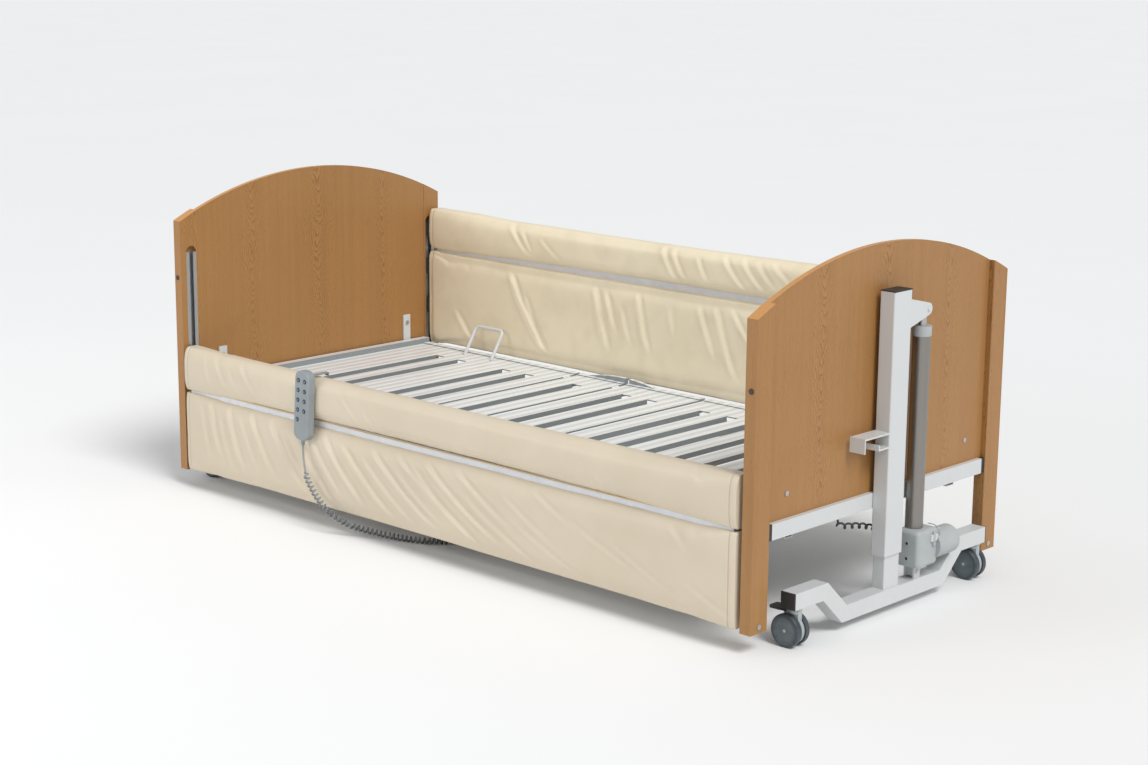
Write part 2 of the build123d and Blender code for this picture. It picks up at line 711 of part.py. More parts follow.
# ---- Hand control ----
def handset_place():
    return Pos(*handset_centre) * Rot(0, handset_tilt, 0)


def button_spots():
    spots = [(-button_column, z) for z in button_rows]
    return spots + [(button_column, z) for z in button_rows[:4]]


def handset():
    wide, deep, tall = handset_size
    body = extrude(Plane.XZ.offset(-deep / 2) * RectangleRounded(wide, tall, 22.0), amount=deep)
    body = fillet(body.faces().sort_by(Axis.Y)[0].edges(), 5.0)
    for x, z in button_spots():
        body -= pin("Y", button_radius + 0.3, -deep / 2 - 1.0, -deep / 2 + 6.0, (x, z))
    relief = Pos(0, 0, -tall / 2 - 7.0) * Cone(4.0, 6.5, 18.0)
    shell = handset_place() * (body + relief)
    x = handset_centre[0]
    strap = block((x - 7.0, x + 7.0), (-524.0, -449.0), (420.0, 423.0))
    strap += block((x - 7.0, x + 7.0), (-452.0, -449.0), (413.0, 422.0))
    save("handset_shell", shell + strap)
    for number, (x, z) in enumerate(button_spots(), start=1):
        button = pin("Y", button_radius, -deep / 2 - button_stand, -deep / 2 + 3.5, (x, z))
        button = fillet(button.faces().sort_by(Axis.Y)[0].edges(), 1.1)
        save(f"handset_button_{number}", handset_place() * button)


def control_box():
    box = fillet(block((-80.0, 80.0), (-300.0, -205.0), (191.0, 242.0)).edges().filter_by(Axis.Z), 6.0)
    gland = pin("Z", 7.0, 183.0, 192.0, (0.0, -250.0))
    save("control_box", box + gland)


def cords():
    save("handset_cord_lead", cord_tube(lead_route, lead_diameter, "lead"))
    save("handset_cord_coil", cord_tube(coil_route, coil_diameter, "coil"))
    save("motor_cable", cord_tube(cable_route, cable_diameter, "motor cable"))


os.makedirs("parts", exist_ok=True)
end_boards()
chassis()
columns()
wheel_bases()
castors()
platform()
platform_actuators()
side_rails()
handset()
control_box()
cords()
knee_rise = (knee_x - thigh_x) * sin(radians(thigh_swing))
calf_drop = degrees(asin(knee_rise / (foot_end_x - knee_x)))
print("calf ratio", round((thigh_swing + calf_drop) / thigh_swing, 4))
print("back pin", back_pin(), "knee pin", knee_pin())
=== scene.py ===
"""Looks for the adjustable hospital bed: finishes, stuffed pads, curly cords, trim, light and camera.

Frame: +X towards the foot end, -Y the near side, +Z up, floor at z = 0, in metres.
"""

from math import cos, exp, pi, radians, sin

import bmesh
import bpy
from mathutils import Matrix, Vector, noise


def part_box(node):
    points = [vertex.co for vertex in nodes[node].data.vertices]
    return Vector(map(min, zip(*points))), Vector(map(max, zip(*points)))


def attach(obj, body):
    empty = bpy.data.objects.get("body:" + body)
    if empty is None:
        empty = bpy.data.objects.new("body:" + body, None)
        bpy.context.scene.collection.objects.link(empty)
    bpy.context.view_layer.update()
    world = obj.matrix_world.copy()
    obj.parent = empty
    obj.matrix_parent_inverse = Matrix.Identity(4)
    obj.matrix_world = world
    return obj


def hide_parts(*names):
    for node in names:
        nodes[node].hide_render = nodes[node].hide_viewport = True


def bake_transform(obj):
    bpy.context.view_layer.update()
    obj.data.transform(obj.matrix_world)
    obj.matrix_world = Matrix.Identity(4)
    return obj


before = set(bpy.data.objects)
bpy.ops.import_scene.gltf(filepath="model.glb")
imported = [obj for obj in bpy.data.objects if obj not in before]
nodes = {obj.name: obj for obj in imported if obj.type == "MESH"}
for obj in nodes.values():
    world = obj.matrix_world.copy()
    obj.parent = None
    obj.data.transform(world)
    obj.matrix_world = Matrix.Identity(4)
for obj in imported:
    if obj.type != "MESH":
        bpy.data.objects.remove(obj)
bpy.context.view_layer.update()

# ---- Driving sizes ----
camera_place = (3.942, -4.126, 1.641)
camera_azimuth = 43.404
camera_elevation = 12.311
camera_roll = 0.462
lens_mm = 67.34
sensor_mm = 36.0

lead_wire = 0.0055
coil_wire = 0.0054
coil_outer = 0.0184
coil_pitch = 0.0128
cable_wire = 0.0052
cable_outer = 0.0165
cable_pitch = 0.034

lead_route = [
    (-0.4642, -0.5325, 0.2302), (-0.4622, -0.5340, 0.2060), (-0.4560, -0.5370, 0.1840),
    (-0.4490, -0.5390, 0.1670),
]
coil_route = [
    (-0.4490, -0.5390, 0.1670), (-0.4410, -0.5413, 0.1476), (-0.4230, -0.5410, 0.1240),
    (-0.4000, -0.5400, 0.0990), (-0.3740, -0.5370, 0.0760), (-0.3450, -0.5310, 0.0570),
    (-0.3080, -0.5080, 0.0330), (-0.2720, -0.4840, 0.0225), (-0.2320, -0.4630, 0.0160),
    (-0.1900, -0.4470, 0.0125), (-0.1480, -0.4320, 0.0110), (-0.1120, -0.4120, 0.0100),
    (-0.0800, -0.3840, 0.0096), (-0.0520, -0.3480, 0.0093), (-0.0280, -0.3100, 0.0140),
    (-0.0100, -0.2750, 0.0400), (-0.0020, -0.2550, 0.0840), (0.0000, -0.2500, 0.1350),
    (0.0000, -0.2500, 0.1830),
]
cable_route = [
    (1.0600, 0.1040, 0.1500), (1.0400, 0.1040, 0.1500), (1.0280, 0.0840, 0.1600),
    (1.0300, 0.0400, 0.1840), (1.0370, -0.0200, 0.2060), (1.0430, -0.0800, 0.2220),
    (1.0470, -0.1280, 0.2300), (1.0480, -0.1500, 0.2365), (1.0480, -0.1640, 0.2480),
    (1.0480, -0.1640, 0.2600),
]

pad_step = 0.0075
pad_shy = 0.0025            # a cover keeps this far inside its space, so its ridges have room
pad_inward = 0.009          # the lower pads' covers reach this far past their CAD solid's inner face
pad_closing = 0.0035        # a roll and the pad below it come this much nearer to each other
bar_inner_y = 0.451         # inner face of the far rail's bars
seam_x = 1.004
rib_pitch = 0.036
end_rings = ((0.0, 0.55), (0.0, 0.8), (0.003, 0.9), (0.009, 0.965), (0.018, 1.0))
arch_spacing = 0.256        # between two columns of cathedral arches in the veneer
arch_width = 0.012

# Pulls in the covers: X at the pad's top, lean (X gained per metre down), where the pull starts and ends as
# shares of the pad's height from below, its depth and its half width.
near_skirt_pulls = [
    (-0.95, 0.20, 0.90, 0.20, 0.0035, 0.010), (-0.91, 0.30, 1.00, 0.25, 0.0040, 0.011),
    (-0.87, 0.30, 0.85, 0.10, 0.0030, 0.009), (-0.83, 0.35, 1.00, 0.15, 0.0045, 0.012),
    (-0.78, 0.45, 0.90, 0.20, 0.0030, 0.010), (-0.73, 0.55, 1.00, 0.15, 0.0045, 0.012),
    (-0.65, 0.72, 0.98, 0.10, 0.0055, 0.014), (-0.60, 0.70, 0.90, 0.35, 0.0035, 0.010),
    (-0.54, 0.66, 0.98, 0.05, 0.0060, 0.015), (-0.48, 0.70, 0.85, 0.20, 0.0040, 0.011),
    (-0.42, 0.80, 0.95, 0.15, 0.0050, 0.013), (-0.36, 1.00, 0.88, 0.10, 0.0060, 0.015),
    (-0.30, 1.10, 0.80, 0.05, 0.0045, 0.012), (-0.24, 1.24, 0.92, 0.12, 0.0060, 0.015),
    (-0.19, 1.25, 0.75, 0.20, 0.0040, 0.011), (-0.14, 1.45, 0.95, 0.30, 0.0050, 0.013),
    (-0.10, 1.20, 0.85, 0.05, 0.0060, 0.015), (-0.03, 1.40, 0.95, 0.15, 0.0060, 0.014),
    (0.03, 1.45, 0.70, 0.00, 0.0045, 0.012), (0.08, 1.60, 0.95, 0.35, 0.0050, 0.013),
    (0.12, 1.70, 0.55, 0.00, 0.0045, 0.011), (0.20, 1.60, 0.80, 0.30, 0.0035, 0.012),
    (0.34, 2.00, 0.95, 0.50, 0.0035, 0.013), (0.36, 2.10, 0.75, 0.25, 0.0035, 0.013),
    (0.46, 1.80, 0.60, 0.10, 0.0025, 0.012), (0.62, 1.60, 0.40, 0.00, 0.0030, 0.011),
    (0.80, 1.10, 0.95, 0.60, 0.0020, 0.012),
]
near_roll_pulls = [
    (-0.93, 0.30, 0.95, 0.20, 0.0020, 0.008), (-0.88, 0.57, 1.00, 0.20, 0.0030, 0.009),
    (-0.83, 0.60, 0.80, 0.10, 0.0022, 0.008), (-0.77, 0.80, 0.95, 0.25, 0.0028, 0.009),
    (-0.70, 0.90, 0.70, 0.10, 0.0020, 0.008), (-0.36, 1.00, 0.75, 0.00, 0.0022, 0.009),
    (-0.30, 1.00, 0.60, 0.00, 0.0020, 0.008), (-0.05, 0.90, 0.45, 0.00, 0.0020, 0.008),
    (0.28, 0.80, 0.40, 0.00, 0.0020, 0.008), (0.52, 0.90, 0.50, 0.00, 0.0018, 0.008),
    (0.87, 1.40, 1.00, 0.60, 0.0024, 0.008),
]
far_skirt_pulls = [
    (-1.00, 0.55, 0.45, 0.00, 0.0040, 0.013), (-0.67, 0.55, 0.95, 0.10, 0.0055, 0.014),
    (-0.63, 0.40, 0.75, 0.10, 0.0045, 0.012), (-0.31, 0.25, 0.95, 0.25, 0.0055, 0.013),
    (-0.27, 0.32, 0.92, 0.45, 0.0045, 0.010), (-0.22, 0.30, 0.80, 0.35, 0.0030, 0.010),
    (-0.14, 0.22, 0.95, 0.30, 0.0055, 0.011), (-0.01, 0.05, 0.85, 0.50, 0.0030, 0.010),
    (0.09, 0.34, 0.92, 0.35, 0.0045, 0.011), (0.15, 0.32, 0.95, 0.20, 0.0050, 0.012),
    (0.20, 0.75, 0.95, 0.50, 0.0045, 0.010), (0.42, 0.40, 0.90, 0.30, 0.0040, 0.012),
    (0.66, 0.50, 0.95, 0.40, 0.0040, 0.012),
]
far_roll_pulls = [
    (-0.66, 0.75, 1.00, 0.10, 0.0040, 0.010), (-0.61, 0.45, 0.85, 0.20, 0.0032, 0.008),
    (-0.57, 1.10, 0.70, 0.05, 0.0035, 0.009), (-0.05, 0.55, 0.98, 0.05, 0.0042, 0.010),
    (-0.01, 0.50, 0.95, 0.20, 0.0036, 0.009), (0.08, 0.45, 0.85, 0.25, 0.0040, 0.008),
    (0.17, 0.80, 0.95, 0.05, 0.0042, 0.010), (0.24, 0.80, 0.95, 0.15, 0.0040, 0.009),
    (0.29, 0.80, 0.95, 0.30, 0.0036, 0.009), (0.34, 1.20, 0.95, 0.40, 0.0034, 0.009),
    (0.60, 0.60, 0.90, 0.20, 0.0032, 0.009),
]


# ---- Camera ----
def make_camera():
    azimuth, elevation, roll = (radians(a) for a in (camera_azimuth, camera_elevation, camera_roll))
    back = Vector((sin(azimuth) * cos(elevation), -cos(azimuth) * cos(elevation), sin(elevation)))
    right = Vector((cos(azimuth), sin(azimuth), 0))
    up = back.cross(right)
    rolled_right = right * cos(roll) + up * sin(roll)
    rolled_up = up * cos(roll) - right * sin(roll)
    data = bpy.data.cameras.new("camera")
    data.lens = lens_mm
    data.sensor_width = sensor_mm
    data.clip_end = 400
    camera = bpy.data.objects.new("camera", data)
    bpy.context.scene.collection.objects.link(camera)
    turn = Matrix((rolled_right, rolled_up, back)).transposed()
    camera.matrix_world = Matrix.Translation(camera_place) @ turn.to_4x4()
    bpy.context.scene.camera = camera


# ---- Material helpers ----
class Shader:
    """A Principled material with short calls for its node tree."""

    def __init__(self, name, color, roughness, metallic=0.0, specular=0.5):
        self.material = bpy.data.materials.new(name)
        self.material.use_nodes = True
        self.tree = self.material.node_tree
        self.main = self.tree.nodes["Principled BSDF"]
        self.main.inputs["Base Color"].default_value = (*color, 1)
        self.main.inputs["Roughness"].default_value = roughness
        self.main.inputs["Metallic"].default_value = metallic
        self.main.inputs["Specular IOR Level"].default_value = specular
        self.place = self.tree.nodes.new("ShaderNodeTexCoord")

    def link(self, source, target):
        self.tree.links.new(source, target)

    def node(self, kind, **values):
        made = self.tree.nodes.new("ShaderNode" + kind)
        for key, value in values.items():
            if key in made.inputs.keys():
                made.inputs[key].default_value = value
            else:
                setattr(made, key, value)
        return made

    def math(self, operation, a, b=None):
        made = self.node("Math", operation=operation)
        for socket, value in zip(made.inputs, (a, b)):
            if isinstance(value, (int, float)):
                socket.default_value = value
            elif value is not None:
                self.link(value, socket)
        return made.outputs[0]

    def coords(self, scale, space="Object"):
        made = self.node("Mapping", Scale=scale)
        self.link(self.place.outputs[space], made.inputs["Vector"])
        return made.outputs[0]

    def split(self, vector):
        made = self.node("SeparateXYZ")
        self.link(vector, made.inputs[0])
        return made.outputs

    def join(self, *parts):
        made = self.node("CombineXYZ")
        for socket, value in zip(made.inputs, parts):
            if isinstance(value, (int, float)):
                socket.default_value = value
            else:
                self.link(value, socket)
        return made.outputs[0]

    def noise(self, scale, detail=4.0, roughness=0.55, vector=None, distortion=0.0):
        made = self.node("TexNoise", Scale=scale, Detail=detail, Roughness=roughness, Distortion=distortion)
        self.link(vector or self.place.outputs["Object"], made.inputs["Vector"])
        return made.outputs["Fac"]

    def ramp(self, value, *stops):
        """Colour ramp; each stop is a position and a colour."""
        made = self.node("ValToRGB")
        points = made.color_ramp.elements
        while len(points) < len(stops):
            points.new(0.5)
        for point, (place, color) in zip(points, stops):
            point.position = place
            point.color = (*color, 1)
        self.link(value, made.inputs["Fac"])
        return made.outputs["Color"]

    def levels(self, value, low, high, out_low=0.0, out_high=1.0):
        made = self.node("MapRange")
        self.link(value, made.inputs["Value"])
        for key, number in (("From Min", low), ("From Max", high), ("To Min", out_low), ("To Max", out_high)):
            made.inputs[key].default_value = number
        return made.outputs["Result"]

    def mix(self, factor, a, b, blend="MIX"):
        made = self.node("Mix", data_type="RGBA", blend_type=blend)
        for socket, value in ((made.inputs[0], factor), (made.inputs[6], a), (made.inputs[7], b)):
            if isinstance(value, tuple):
                socket.default_value = (*value, 1)
            elif isinstance(value, (int, float)):
                socket.default_value = value
            else:
                self.link(value, socket)
        return made.outputs[2]

    def color(self, source):
        self.link(source, self.main.inputs["Base Color"])

    def roughness(self, source):
        self.link(source, self.main.inputs["Roughness"])

    def bump(self, height, distance, strength=1.0):
        made = self.node("Bump", Strength=strength, Distance=distance)
        self.link(height, made.inputs["Height"])
        if self.main.inputs["Normal"].links:
            self.link(self.main.inputs["Normal"].links[0].from_socket, made.inputs["Normal"])
        self.link(made.outputs[0], self.main.inputs["Normal"])


def paint(material, *names):
    """Gives CAD nodes a material."""
    for name in names:
        mesh = nodes[name].data
        mesh.materials.clear()
        mesh.materials.append(material)


# ---- Wood ----
def oak(name, climb=1.0):
    """Varnished oak veneer: straight grain with columns of cathedral arches, or none where climb is 0."""
    s = Shader(name, (0.44, 0.24, 0.1), 0.42, specular=0.4)
    x, y, z = s.split(s.place.outputs["Object"])
    width = s.math("ADD", y, s.math("MULTIPLY", x, 1.3)) if climb == 0 else y
    sway = s.noise(1.0, 2.0, 0.5, s.join(0.0, s.math("MULTIPLY", width, 3.0), s.math("MULTIPLY", z, 3.5)))
    swung = s.math("MULTIPLY", s.math("SUBTRACT", sway, 0.5), 0.09)
    shifted = s.math("ADD", s.math("ADD", width, 0.25), swung)
    across = s.math("PINGPONG", shifted, arch_spacing / 2)
    spread = s.math("SQRT", s.math("ADD", s.math("MULTIPLY", across, across), arch_width ** 2))
    drift = s.noise(1.0, 3.0, 0.6, s.join(3.0, s.math("MULTIPLY", width, 26.0), s.math("MULTIPLY", z, 11.0)))
    fret = s.noise(1.0, 3.0, 0.6, s.join(7.0, s.math("MULTIPLY", width, 120.0), s.math("MULTIPLY", z, 34.0)))
    rings = s.math("ADD", s.math("MULTIPLY", z, 38.0 * climb), s.math("MULTIPLY", spread, -190.0))
    rings = s.math("ADD", rings, s.math("ADD", s.math("MULTIPLY", drift, 5.0), s.math("MULTIPLY", fret, 0.9)))
    late = s.math("POWER", s.math("FRACT", rings), 1.6)
    in_column = s.levels(across, 0.016, 0.06, 1.0, 0.42)
    pores = s.noise(1.0, 4.0, 0.7, s.join(0.0, s.math("MULTIPLY", width, 380.0), s.math("MULTIPLY", z, 26.0)))
    streaks = s.noise(1.0, 4.0, 0.6, s.join(0.0, s.math("MULTIPLY", width, 46.0), s.math("MULTIPLY", z, 1.3)))
    grain = s.ramp(late, (0.0, (0.44, 0.222, 0.07)), (0.55, (0.38, 0.184, 0.055)), (1.0, (0.18, 0.074, 0.02)))
    plain = (0.4, 0.196, 0.06)
    figured = s.mix(in_column, plain, grain)
    fine = s.mix(s.levels(pores, 0.54, 0.74, 0.0, 0.6), figured, (0.22, 0.1, 0.034))
    striped = s.mix(s.levels(streaks, 0.35, 0.7, 0.0, 0.5), fine, (0.3, 0.145, 0.05))
    toned = s.mix(s.levels(s.noise(2.2, 3.0, 0.5), 0.35, 0.65, 0.0, 0.3), striped, (0.44, 0.23, 0.082))
    # Faces that look up are painted lighter and oranger: a painted highlight where light falls on the tops.
    up = s.split(s.place.outputs["Normal"])[2]
    painted_top_highlight = s.mix(s.noise(90.0, 3.0), (0.66, 0.33, 0.11), (0.56, 0.26, 0.08))
    s.color(s.mix(s.levels(up, 0.25, 0.6), toned, painted_top_highlight))
    s.roughness(s.levels(pores, 0.3, 0.75, 0.36, 0.55))
    s.bump(pores, 0.00015, 0.5)
    s.main.inputs["Coat Weight"].default_value = 0.12
    s.main.inputs["Coat Roughness"].default_value = 0.3
    return s.material


# ---- Metals and plastics ----
def powder_coat(name, light, dark, painted_side_shade=False):
    """White powder coat with scuff wear. With the side-shade option, faces that look sideways or down get
    painted shade, and ribs on top get painted shade in their troughs.
    """
    s = Shader(name, light, 0.36)
    tone = s.noise(5.0, 4.0)
    scuff = s.noise(1.0, 6.0, 0.7, s.coords((40.0, 40.0, 9.0)))
    base = s.mix(s.levels(tone, 0.3, 0.7), light, tuple(c * 1.04 for c in light))
    wear_and_painted_shade = s.mix(s.levels(scuff, 0.66, 0.82, 0.0, 0.5), base, dark)
    if painted_side_shade:
        up = s.split(s.place.outputs["Normal"])[2]
        x = s.split(s.place.outputs["Object"])[0]
        rib = s.math("SINE", s.math("MULTIPLY", x, 2 * pi / rib_pitch))
        # Rib troughs are painted darker: painted shade in the grooves between the slats.
        rib_painted_shade = s.mix(s.levels(rib, -1.0, 0.2, 0.5, 0.0), wear_and_painted_shade, (0.52, 0.55, 0.57))
        # Faces that look sideways or down are painted dark grey: painted shade on the slot walls and
        # undersides.
        wear_and_painted_shade = s.mix(s.levels(up, 0.2, 0.8), (0.26, 0.285, 0.295), rib_painted_shade)
        s.bump(rib, 0.0016, 0.5)
    s.color(wear_and_painted_shade)
    s.roughness(s.levels(scuff, 0.3, 0.8, 0.3, 0.48))
    s.bump(s.noise(420.0, 2.0), 0.00012, 0.35)
    return s.material


def moulded(name, color, lighter, roughness=0.45, texture=0.0001):
    """Moulded plastic with a fine spark texture and slight handling marks."""
    s = Shader(name, color, roughness)
    s.color(s.mix(s.levels(s.noise(14.0, 5.0), 0.3, 0.75), color, lighter))
    s.roughness(s.levels(s.noise(60.0, 5.0), 0.3, 0.75, roughness - 0.06, roughness + 0.12))
    s.bump(s.noise(1500.0, 2.0), texture, 0.5)
    return s.material


def drawn_metal(name, color, scale, roughness=0.3):
    """Metal drawn or rolled along one direction; scale stretches the marks."""
    s = Shader(name, color, roughness, metallic=1.0)
    marks = s.noise(1.0, 6.0, 0.6, s.coords(scale))
    s.color(s.mix(s.levels(marks, 0.3, 0.7), color, tuple(c * 1.12 for c in color)))
    s.roughness(s.levels(marks, 0.25, 0.75, roughness - 0.06, roughness + 0.12))
    s.bump(marks, 0.00006, 0.4)
    return s.material


def castor_material():
    """Slate tread with a slightly lighter smooth cover disc and a thin groove, centred on each wheel pair."""
    s = Shader("castor_slate", (0.07, 0.085, 0.1), 0.42)
    x, y, z = s.split(s.place.outputs["Generated"])
    dx = s.math("SUBTRACT", x, 0.5)
    dz = s.math("SUBTRACT", z, 0.5)
    radius = s.math("SQRT", s.math("ADD", s.math("MULTIPLY", dx, dx), s.math("MULTIPLY", dz, dz)))
    tone = s.noise(60.0, 4.0)
    tread = s.mix(s.levels(tone, 0.3, 0.7), (0.04, 0.052, 0.062), (0.065, 0.08, 0.092))
    disc = s.mix(s.levels(tone, 0.3, 0.7), (0.1, 0.125, 0.14), (0.14, 0.17, 0.185))
    hub = s.levels(radius, 0.405, 0.395)
    groove = s.math("MULTIPLY", s.levels(radius, 0.355, 0.365), s.levels(radius, 0.385, 0.375))
    centre = s.levels(radius, 0.06, 0.05)
    covered = s.mix(hub, tread, disc)
    marked = s.math("MAXIMUM", s.math("MULTIPLY", groove, 0.7), s.math("MULTIPLY", centre, 0.6))
    s.color(s.mix(marked, covered, (0.04, 0.05, 0.06)))
    s.roughness(s.levels(s.noise(90.0, 4.0), 0.3, 0.7, 0.34, 0.5))
    s.bump(s.noise(800.0, 2.0), 0.00008, 0.5)
    return s.material


def button_material():
    """Dark blue key with a pale printed mark and a darker rim, centred on each key."""
    s = Shader("button_blue", (0.02, 0.03, 0.08), 0.3)
    x, y, z = s.split(s.place.outputs["Generated"])
    dx = s.math("SUBTRACT", x, 0.5)
    dz = s.math("SUBTRACT", z, 0.5)
    radius = s.math("SQRT", s.math("ADD", s.math("MULTIPLY", dx, dx), s.math("MULTIPLY", dz, dz)))
    mark = s.levels(radius, 0.24, 0.18)
    rim = s.levels(radius, 0.42, 0.46)
    blue = s.mix(s.noise(300.0, 3.0), (0.018, 0.028, 0.075), (0.03, 0.042, 0.1))
    s.color(s.mix(mark, s.mix(rim, blue, (0.008, 0.01, 0.02)), (0.2, 0.25, 0.33)))
    s.bump(mark, 0.0003, 0.4)
    return s.material


# ---- Soft materials ----
def vinyl():
    """Cream coated cover: fine leather grain, yellower and lighter on the far side, the lighter far tone
    being painted light, with a seam at each pad end.
    """
    s = Shader("cream_vinyl", (0.72, 0.62, 0.44), 0.42, specular=0.45)
    x, y, z = s.split(s.place.outputs["Object"])
    tone = s.noise(3.0, 4.0)
    cloud = s.noise(11.0, 5.0)
    # The near tone is darker and the far tone lighter: painted light on one cover material, besides the far
    # side's yellower hue.
    near = s.mix(s.levels(tone, 0.3, 0.7), (0.64, 0.555, 0.42), (0.71, 0.62, 0.485))
    far = s.mix(s.levels(tone, 0.3, 0.7), (0.86, 0.75, 0.54), (0.9, 0.8, 0.6))
    base = s.mix(s.levels(y, -0.3, 0.3), near, far)
    soiled = s.mix(s.levels(cloud, 0.45, 0.8, 0.0, 0.35), base, (0.64, 0.55, 0.39))
    from_seam = s.math("ABSOLUTE", s.math("SUBTRACT", s.math("ABSOLUTE", x), seam_x))
    seam = s.levels(from_seam, 0.0009, 0.0018, 1.0, 0.0)
    s.color(s.mix(s.math("MULTIPLY", seam, 0.65), soiled, (0.42, 0.34, 0.22)))
    s.roughness(s.levels(s.noise(45.0, 5.0), 0.3, 0.7, 0.36, 0.5))
    grain = s.node("TexVoronoi", Scale=900.0)
    s.link(s.place.outputs["Object"], grain.inputs["Vector"])
    s.bump(grain.outputs["Distance"], 0.00012, 0.35)
    s.bump(s.noise(26.0, 5.0, 0.6), 0.0012, 0.3)
    s.bump(s.levels(from_seam, 0.0, 0.006), 0.0012, 0.6)
    s.main.inputs["Sheen Weight"].default_value = 0.08
    s.main.inputs["Subsurface Weight"].default_value = 0.04
    s.main.inputs["Subsurface Radius"].default_value = (0.01, 0.008, 0.005)
    return s.material


def woven(name, color, other, count=700.0):
    """Plain woven tape or lining."""
    s = Shader(name, color, 0.8, specular=0.2)
    weave = s.node("TexWave", wave_type="BANDS", bands_direction="X", Scale=count, Distortion=1.0)
    s.link(s.place.outputs["Object"], weave.inputs["Vector"])
    cross = s.node("TexWave", wave_type="BANDS", bands_direction="Z", Scale=count, Distortion=1.0)
    s.link(s.place.outputs["Object"], cross.inputs["Vector"])
    threads = s.math("MAXIMUM", weave.outputs["Fac"], cross.outputs["Fac"])
    s.color(s.mix(s.levels(s.noise(30.0, 4.0), 0.3, 0.7), color, other))
    s.bump(threads, 0.00025, 0.6)
    s.main.inputs["Sheen Weight"].default_value = 0.2
    return s.material


def cord_sheath(name, painted_shade_color, high_color, low_z, high_z):
    """Cord cover painted darker lower down: painted shade that grows towards the floor, from one colour to
    the other with height.
    """
    s = Shader(name, high_color, 0.42)
    height = s.split(s.place.outputs["Object"])[2]
    # Darker with less height: painted shade low down.
    tone = s.mix(s.levels(height, low_z, high_z), painted_shade_color, high_color)
    s.color(s.mix(s.levels(s.noise(45.0, 4.0), 0.3, 0.7, 0.0, 0.5), tone, tuple(c * 1.3 for c in high_color)))
    s.roughness(s.levels(s.noise(200.0, 4.0), 0.3, 0.7, 0.36, 0.52))
    s.bump(s.noise(1200.0, 2.0), 0.00008, 0.4)
    return s.material


# ---- Mesh helpers ----
def add_mesh(name, points, faces, material, smooth=True):
    mesh = bpy.data.meshes.new(name)
    mesh.from_pydata([tuple(p) for p in points], [], faces)
    mesh.validate()
    mesh.update()
    mesh.materials.append(material)
    for polygon in mesh.polygons:
        polygon.use_smooth = smooth
    made = bpy.data.objects.new(name, mesh)
    bpy.context.scene.collection.objects.link(made)
    return made


def add_modifier(target, kind, **settings):
    made = target.modifiers.new(kind.lower(), kind)
    for key, value in settings.items():
        setattr(made, key, value)
    return made


def apply_modifiers(target):
    graph = bpy.context.evaluated_depsgraph_get()
    shaped = bpy.data.meshes.new_from_object(target.evaluated_get(graph))
    target.modifiers.clear()
    target.data = shaped


def grid_faces(rows, columns, wrap=False):
    """Quads over a grid of points; wrap joins the last column to the first."""
    faces = []
    across = columns if wrap else columns - 1
    for i in range(rows - 1):
        for j in range(across):
            k = (j + 1) % columns
            faces.append((i * columns + j, i * columns + k, (i + 1) * columns + k, (i + 1) * columns + j))
    return faces


def tube(name, line, radius, material, sides=10):
    """Round tube along a line of points, with closed ends and no twist."""
    points = [Vector(p) for p in line]
    tangent = (points[1] - points[0]).normalized()
    side = tangent.orthogonal().normalized()
    rings = []
    for i, point in enumerate(points):
        ahead = points[min(i + 1, len(points) - 1)]
        behind = points[max(i - 1, 0)]
        along = (ahead - behind).normalized()
        side = (side - along * side.dot(along)).normalized()
        other = along.cross(side)
        for k in range(sides):
            turn = 2 * pi * k / sides
            rings.append(point + (side * cos(turn) + other * sin(turn)) * radius)
    faces = grid_faces(len(points), sides, wrap=True)
    faces.append(tuple(range(sides))[::-1])
    last = (len(points) - 1) * sides
    faces.append(tuple(range(last, last + sides)))
    return add_mesh(name, rings, faces, material)


def bevelled_block(name, xs, ys, zs, edge, material):
    corners = [(x, y, z) for x in xs for y in ys for z in zs]
    faces = [(0, 1, 3, 2), (4, 6, 7, 5), (0, 4, 5, 1), (2, 3, 7, 6), (0, 2, 6, 4), (1, 5, 7, 3)]
    made = add_mesh(name, corners, faces, material, smooth=False)
    add_modifier(made, "BEVEL", width=edge, segments=3)
    apply_modifiers(made)
    return made


def ride_with(made, body):
    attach(made, body)
    return made


# ---- Cords ----
def cord_curve(name, route, radius=0.0):
    """One smooth NURBS line with the route's points as its control points."""
    data = bpy.data.curves.new(name, "CURVE")
    data.dimensions = "3D"
    data.resolution_u = 16
    data.bevel_depth = radius
    data.bevel_resolution = 4
    data.use_fill_caps = True
    spline = data.splines.new("NURBS")
    spline.points.add(len(route) - 1)
    for point, place in zip(spline.points, route):
        point.co = (*place, 1.0)
    spline.order_u = 3
    spline.use_endpoint_u = True
    made = bpy.data.objects.new(name, data)
    bpy.context.scene.collection.objects.link(made)
    return made


def smooth_line(route):
    """Points along the route's own NURBS line."""
    curve = cord_curve("line", route)
    mesh = bpy.data.meshes.new_from_object(curve)
    points = [v.co.copy() for v in mesh.vertices]
    bpy.data.meshes.remove(mesh)
    bpy.data.objects.remove(curve)
    return points


def even_line(line, step):
    """The line again with points an even step apart."""
    spots = [0.0]
    for a, b in zip(line, line[1:]):
        spots.append(spots[-1] + (b - a).length)
    count = max(2, round(spots[-1] / step))
    result = []
    index = 0
    for i in range(count + 1):
        want = spots[-1] * i / count
        while index < len(spots) - 2 and spots[index + 1] < want:
            index += 1
        span = spots[index + 1] - spots[index]
        share = (want - spots[index]) / span if span > 0 else 0.0
        result.append(line[index].lerp(line[index + 1], min(share, 1.0)))
    return result, spots[-1]


